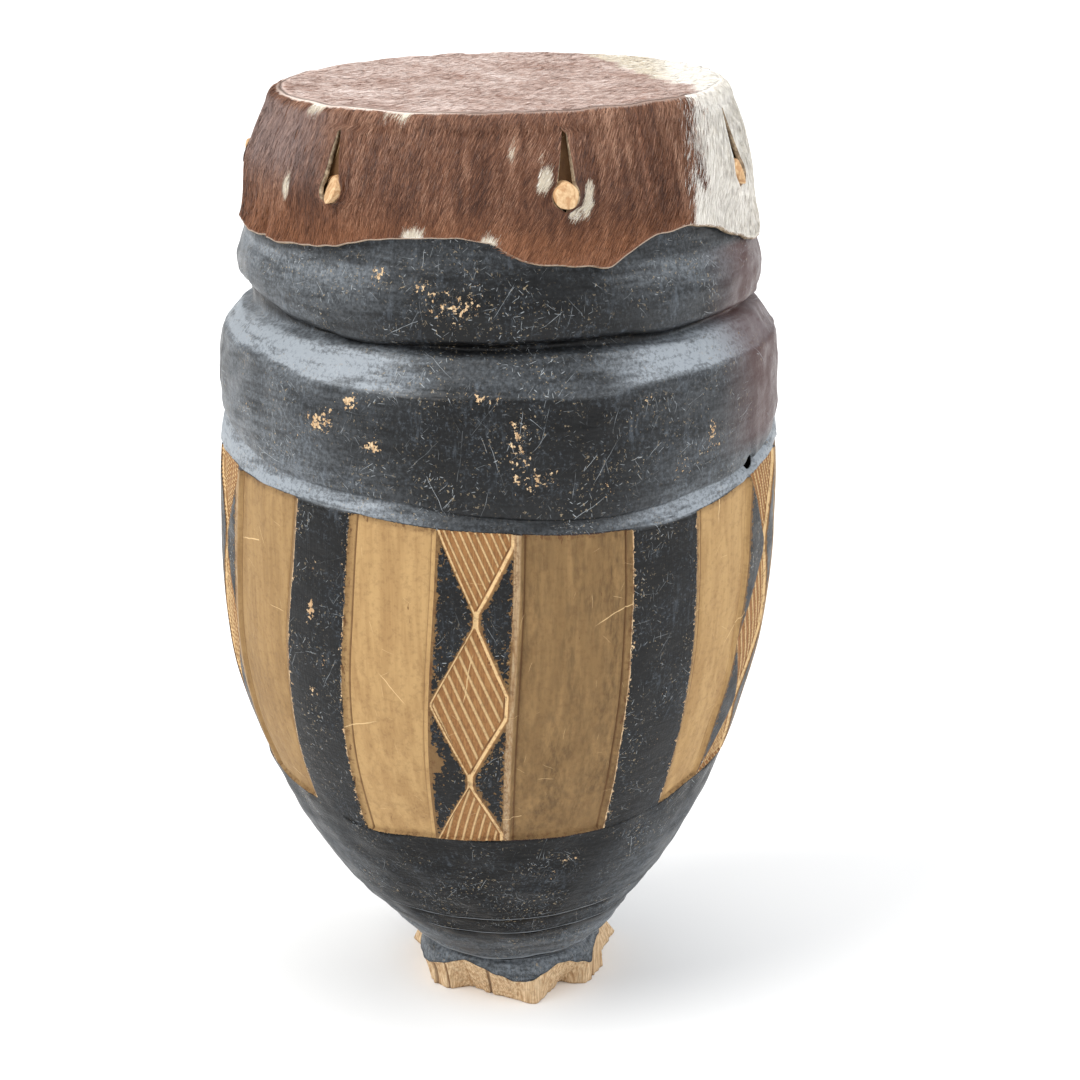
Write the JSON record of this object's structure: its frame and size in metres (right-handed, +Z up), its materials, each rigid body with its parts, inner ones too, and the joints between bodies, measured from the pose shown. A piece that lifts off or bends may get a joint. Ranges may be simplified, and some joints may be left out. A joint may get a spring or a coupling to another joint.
{
  "type": "ceremonial drum",
  "caption": "Upright goblet-shaped drum carved from a log, with a hair-on hide head held by wooden pegs, ring bands, carved panels and a broken foot.",
  "frame": {"origin": "middle of the drum's outer box, on the surface that it stands on", "axes": "+Z up the drum from its foot to its head, -Y towards the side that the picture shows"},
  "size_m": [0.3294, 0.3296, 0.5528],
  "materials": {
    "blackened_wood": "blackened and rubbed carved wood with cut-back pale and brown panels, scratched and chipped",
    "cowhide": "hair-on cowhide, reddish brown with cream patches, worn along the rim",
    "peg_wood": "raw whittled wood, end grain showing"
  },
  "bodies": {
    "root": {"shell": "blackened_wood", "drumskin": "cowhide", "peg_1": "peg_wood", "peg_2": "peg_wood", "peg_3": "peg_wood", "peg_4": "peg_wood", "peg_5": "peg_wood", "peg_6": "peg_wood", "peg_7": "peg_wood"}
  },
  "joints": []
}
